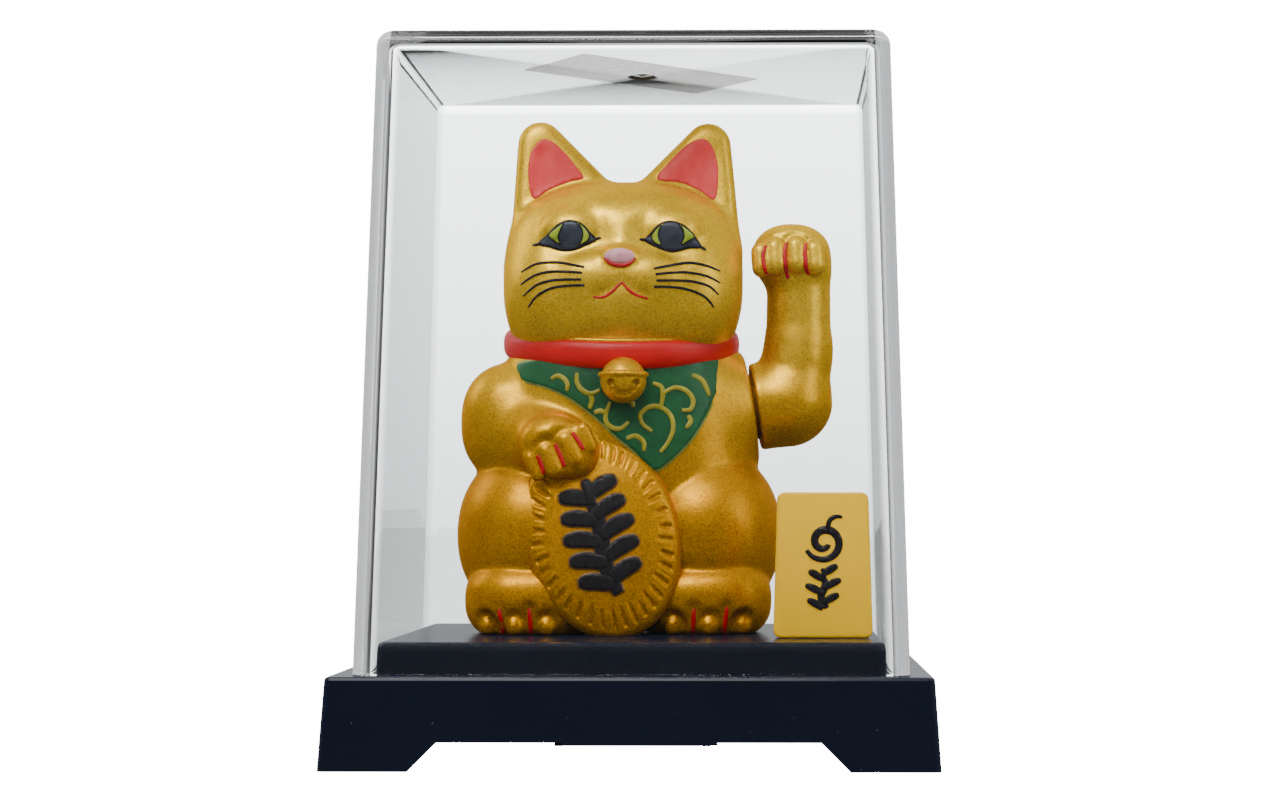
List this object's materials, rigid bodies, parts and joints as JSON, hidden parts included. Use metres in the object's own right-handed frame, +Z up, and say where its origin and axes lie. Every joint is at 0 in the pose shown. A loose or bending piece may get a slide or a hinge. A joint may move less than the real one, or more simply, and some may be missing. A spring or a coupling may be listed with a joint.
{
  "type": "waving cat figurine",
  "caption": "Seated gold cat with a swinging raised arm, oval coin, collar and bell, on a black legged stand under a clear lift-off display cover, with a small upright plaque.",
  "frame": {"origin": "centre of the stand's footprint, on the surface that it stands on", "axes": "+Z up, the cat faces -Y, +X is to the cat's left"},
  "size_m": [0.11, 0.09, 0.1336],
  "materials": {
    "black_stand": "gloss black moulding with a fine blue cast",
    "black_inner": "matt black moulding",
    "clear_plastic": "clear polished moulding",
    "label_film": "blank satin film label",
    "plaque_yellow": "satin golden yellow with a painted ornament",
    "gold_ceramic": "fine-grained metallic gold paint with painted face, collar and bib",
    "gold_plastic": "fine-grained metallic gold paint",
    "white_plastic": "natural white nylon",
    "steel": "bright plated steel",
    "dark_steel": "dark plated steel",
    "brass": "turned brass",
    "copper": null,
    "board": "green solder mask",
    "component": "black resin",
    "ferrite": "dull dark grey magnet",
    "cell": "printed sleeve on a dry cell; aluminium gives the cell's real density",
    "wire_red": "red PVC sleeve",
    "wire_black": "black PVC sleeve"
  },
  "bodies": {
    "stand": {"stand": "black_stand", "base_plate": "black_inner", "base_plate_screws": "steel", "battery_cell": "cell", "contact_plate": "steel", "contact_spring": "steel", "wire_red": "wire_red", "wire_black": "wire_black", "plaque": "plaque_yellow", "cat_body": "gold_ceramic", "cat_floor": "white_plastic", "cat_fixing_screws": "steel", "drive_frame": "white_plastic", "axle_bushes": "brass", "circuit_board": "board", "board_components": "component", "coil_bobbin": "white_plastic", "coil_winding": "copper", "coil_core": "dark_steel"},
    "arm": {"axle": "steel", "axle_clips": "dark_steel", "pendulum_lever": "white_plastic", "pendulum_magnet": "ferrite", "arm_hub": "white_plastic", "raised_arm": "gold_plastic"},
    "cover": {"clear_cover": "clear_plastic", "cover_label": "label_film"},
    "door": {"battery_door": "black_inner"}
  },
  "joints": [
    {"name": "arm_swing", "type": "hinge", "parent": "stand", "child": "arm", "pos_m": [-0.005, 0.01, 0.0666], "axis": [0.9981, 0.061, 0], "range_deg": [-18, 24]},
    {"name": "cover_lift", "type": "slide", "parent": "stand", "child": "cover", "axis": [0, 0, 1], "range_m": [0, 0.13]},
    {"name": "battery_door_slide", "type": "slide", "parent": "stand", "child": "door", "axis": [0, -1, 0], "range_m": [0, 0.066]}
  ]
}
